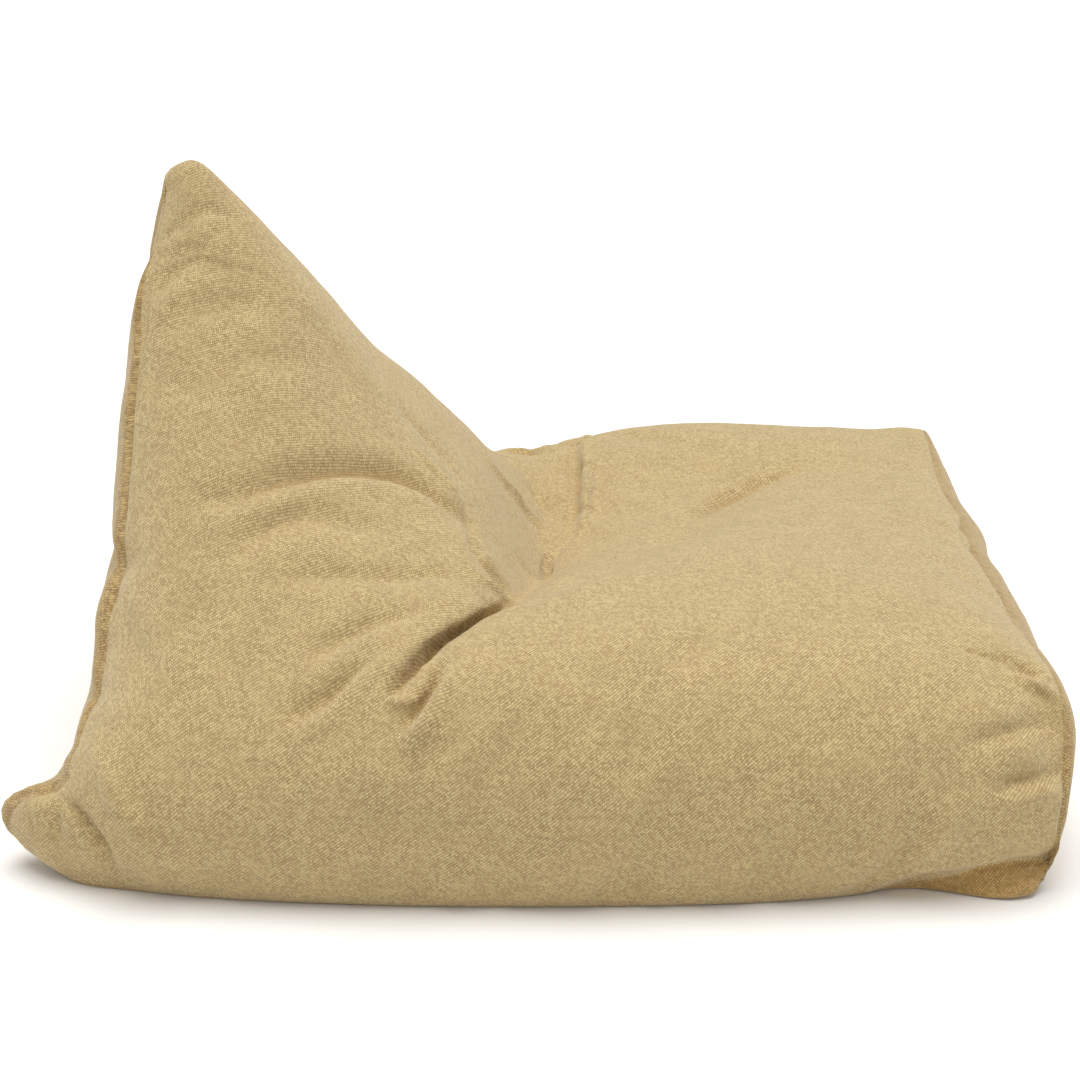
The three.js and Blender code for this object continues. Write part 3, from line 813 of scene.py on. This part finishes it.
def makeCloth(name, weave):
    material = bpy.data.materials.new(name)
    material.use_nodes = True
    tree = material.node_tree
    shader = tree.nodes["Principled BSDF"]
    multiply, multiplyAdd = {"operation": "MULTIPLY"}, {"operation": "MULTIPLY_ADD"}
    floor, sine, absolute = {"operation": "FLOOR"}, {"operation": "SINE"}, {"operation": "ABSOLUTE"}

    # The threads' place in the cloth, with their wandering, turned so that the ridges run along x
    uv = addNode(tree, "ShaderNodeUVMap", {"uv_map": "cloth"}).outputs["UV"]
    drift = addNode(
        tree, "ShaderNodeTexNoise", None,
        {"Vector": uv, "Scale": 1 / (weave["wanderLength"] * mm), "Detail": 3},
    ).outputs["Color"]
    centred = addNode(
        tree, "ShaderNodeVectorMath", {"operation": "SUBTRACT"}, (drift, (0.5, 0.5, 0.5))
    ).outputs[0]
    wander = addNode(
        tree, "ShaderNodeVectorMath", {"operation": "SCALE"}, {0: centred, "Scale": weave["wander"] * mm}
    ).outputs[0]
    threads = addNode(tree, "ShaderNodeVectorMath", {"operation": "ADD"}, (uv, wander)).outputs[0]
    turned = addNode(
        tree, "ShaderNodeVectorRotate", {"rotation_type": "Z_AXIS"},
        {"Vector": threads, "Angle": math.radians(-weave["angle"])},
    ).outputs[0]
    parts = addNode(tree, "ShaderNodeSeparateXYZ", None, (turned,)).outputs

    # Ridges across, and raised threads along each ridge
    ridge = addNode(tree, "ShaderNodeMath", multiply, (parts[1], 1 / (weave["ridgePitch"] * mm))).outputs[0]
    ridgeNumber = addNode(tree, "ShaderNodeMath", floor, (ridge,)).outputs[0]
    thread = addNode(tree, "ShaderNodeMath", multiply, (parts[0], 1 / (weave["threadPitch"] * mm))).outputs[0]
    shift = addNode(
        tree, "ShaderNodeTexWhiteNoise", {"noise_dimensions": "1D"}, {"W": ridgeNumber}
    ).outputs["Value"]
    thread = addNode(tree, "ShaderNodeMath", multiplyAdd, (shift, weave["stagger"], thread)).outputs[0]
    threadNumber = addNode(tree, "ShaderNodeMath", floor, (thread,)).outputs[0]
    crossing = addNode(tree, "ShaderNodeCombineXYZ", None, (ridgeNumber, threadNumber)).outputs[0]
    yarn = addNode(
        tree, "ShaderNodeTexWhiteNoise", {"noise_dimensions": "2D"}, {"Vector": crossing}
    ).outputs["Value"]
    shares = []
    for place, fall in ((ridge, weave["ridgeFall"]), (thread, weave["threadFall"])):
        turn = addNode(tree, "ShaderNodeMath", multiply, (place, math.pi)).outputs[0]
        wave = addNode(tree, "ShaderNodeMath", sine, (turn,)).outputs[0]
        arch = addNode(tree, "ShaderNodeMath", absolute, (wave,)).outputs[0]
        shares.append(addNode(tree, "ShaderNodeMath", multiplyAdd, (arch, fall, 1 - fall)).outputs[0])
    raised = addNode(tree, "ShaderNodeMath", multiply, shares).outputs[0]
    raised = addNode(tree, "ShaderNodeMath", multiplyAdd, (yarn, weave["yarnSpread"], raised)).outputs[0]

    # The yarn's fibres, and the places where they hide the weave
    fibres = addNode(
        tree, "ShaderNodeTexNoise", None, {"Vector": uv, "Scale": 1 / (weave["fibre"] * mm), "Detail": 1}
    ).outputs[0]
    level = -weave["middle"] * weave["contrast"] - 0.5 * weave["fibreShare"]
    fibres = addNode(tree, "ShaderNodeMath", multiplyAdd, (fibres, weave["fibreShare"], level)).outputs[0]
    pattern = addNode(tree, "ShaderNodeMath", multiplyAdd, (raised, weave["contrast"], fibres)).outputs[0]
    felt = addNode(
        tree, "ShaderNodeTexNoise", None, {"Vector": uv, "Scale": 1 / (weave["feltLength"] * mm), "Detail": 3}
    ).outputs[0]
    clear = addNode(tree, "ShaderNodeMapRange", None, (felt, *weave["felted"])).outputs[0]
    height = addNode(tree, "ShaderNodeMath", multiplyAdd, (pattern, clear, 0.5)).outputs[0]

    # Colour: the weave's, then the thick yarns' streaks, the patches, the painted shade in the seams' grooves
    # and the painted shade of the folds
    colour = addNode(
        tree, "ShaderNodeMix", {"data_type": "RGBA"},
        {0: height, 6: srgb(weave["dark"]), 7: srgb(weave["light"])},
    ).outputs[2]
    length, breadth = weave["slubs"]
    stretched = addNode(
        tree, "ShaderNodeMapping", None, {"Vector": uv, "Scale": (1 / (length * mm), 1 / (breadth * mm), 1)}
    ).outputs[0]
    slubs = addNode(
        tree, "ShaderNodeTexNoise", None, {"Vector": stretched, "Scale": 1, "Detail": 1}
    ).outputs[0]
    slubs = addNode(
        tree, "ShaderNodeMath", multiplyAdd, (slubs, weave["slubShare"], -0.5 * weave["slubShare"])
    ).outputs[0]
    patches = addNode(
        tree, "ShaderNodeTexNoise", None,
        {"Vector": uv, "Scale": 1 / (weave["patchLength"] * mm), "Detail": 3},
    ).outputs[0]
    patches = addNode(tree, "ShaderNodeMapRange", None, (patches, *weave["patches"])).outputs[0]
    tone = addNode(tree, "ShaderNodeMath", {"operation": "ADD"}, (patches, slubs)).outputs[0]
    # Painted shade in the seams' grooves: the tone darkens close to the stitched line
    seamGap = addNode(tree, "ShaderNodeAttribute", {"attribute_name": "seam"}).outputs["Fac"]
    grooveShade = addNode(tree, "ShaderNodeMapRange", None, (seamGap, *weave["seamGrooveShade"])).outputs[0]
    tone = addNode(tree, "ShaderNodeMath", multiply, (tone, grooveShade)).outputs[0]
    colour = addNode(tree, "ShaderNodeHueSaturation", None, {"Value": tone, "Color": colour}).outputs[0]
    # Painted shade: deep folds are tinted darker and browner, standing in for the shade that falls into them
    deep = addNode(tree, "ShaderNodeAttribute", {"attribute_name": "pressed"}).outputs["Fac"]
    shade = addNode(
        tree, "ShaderNodeMapRange", {"interpolation_type": "SMOOTHSTEP"}, (deep, *weave["foldShade"])
    ).outputs[0]
    colour = addNode(
        tree, "ShaderNodeMix", {"data_type": "RGBA"}, {0: shade, 6: colour, 7: srgb(weave["paintedFoldShadeColour"])}
    ).outputs[2]
    tree.links.new(colour, shader.inputs["Base Color"])

    # Relief of the threads and of the drawn-in seams
    rise = addNode(
        tree, "ShaderNodeMapRange", {"interpolation_type": "SMOOTHSTEP"}, (seamGap, *weave["seamRise"])
    ).outputs[0]
    relief = addNode(tree, "ShaderNodeMath", {"operation": "ADD"}, (height, rise)).outputs[0]
    bump = addNode(
        tree, "ShaderNodeBump", None,
        {"Height": relief, "Strength": weave["bumpStrength"], "Distance": weave["bumpHeight"] * mm},
    ).outputs[0]
    tree.links.new(bump, shader.inputs["Normal"])
    shader.inputs["Roughness"].default_value = weave["roughness"]
    shader.inputs["Specular IOR Level"].default_value = weave["specular"]
    shader.inputs["Sheen Weight"].default_value = weave["bloom"]
    shader.inputs["Sheen Roughness"].default_value = weave["bloomRoughness"]
    shader.inputs["Sheen Tint"].default_value = srgb(weave["bloomColour"])
    return material


for name, changes in cloths.items():
    finer.materials.append(makeCloth(name, weave | changes))
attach(cover, "root")
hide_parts("pouf_body")
print("stage: cloth")


# Floor and light: matt white paper, which sends soft light back up, under one broad lamp overhead

studio = {
    "half": 400,  # half the floor's side, in metres
    "below": 0.5,  # how far under the bag the floor lies
    "colour": "#f7f6f4",
    "roughness": 0.9,
    "keyFrom": (0.05, 0.2, 2.2),
    "keySoftness": 50,  # in degrees
    "keyStrength": 2.6,
    "fillColour": "#ffffff",
    "fillStrength": 0.5,
}


def addFloor():
    mesh = bpy.data.meshes.new("studioFloor")
    half, level = studio["half"], -studio["below"] * mm
    corners = [(-half, -half, level), (half, -half, level), (half, half, level), (-half, half, level)]
    mesh.from_pydata(corners, [], [(0, 1, 2, 3)])
    material = bpy.data.materials.new("whitePaperFloor")
    material.use_nodes = True
    shader = material.node_tree.nodes["Principled BSDF"]
    shader.inputs["Base Color"].default_value = srgb(studio["colour"])
    shader.inputs["Roughness"].default_value = studio["roughness"]
    mesh.materials.append(material)
    floor = bpy.data.objects.new("studioFloor", mesh)
    bpy.context.scene.collection.objects.link(floor)
    return floor


def addKeyLight():
    light = bpy.data.lights.new("softKey", "SUN")
    light.angle = math.radians(studio["keySoftness"])
    light.energy = studio["keyStrength"]
    lamp = bpy.data.objects.new("softKey", light)
    lamp.location = studio["keyFrom"]
    lamp.rotation_euler = Vector(studio["keyFrom"]).to_track_quat("Z", "Y").to_euler()
    bpy.context.scene.collection.objects.link(lamp)


addFloor()
addKeyLight()
world = bpy.data.worlds.new("studio")
world.use_nodes = True
fill = world.node_tree.nodes["Background"]
fill.inputs["Color"].default_value = srgb(studio["fillColour"])
fill.inputs["Strength"].default_value = studio["fillStrength"]
bpy.context.scene.world = world
bpy.context.scene.view_settings.view_transform = "Standard"
print("stage: light")
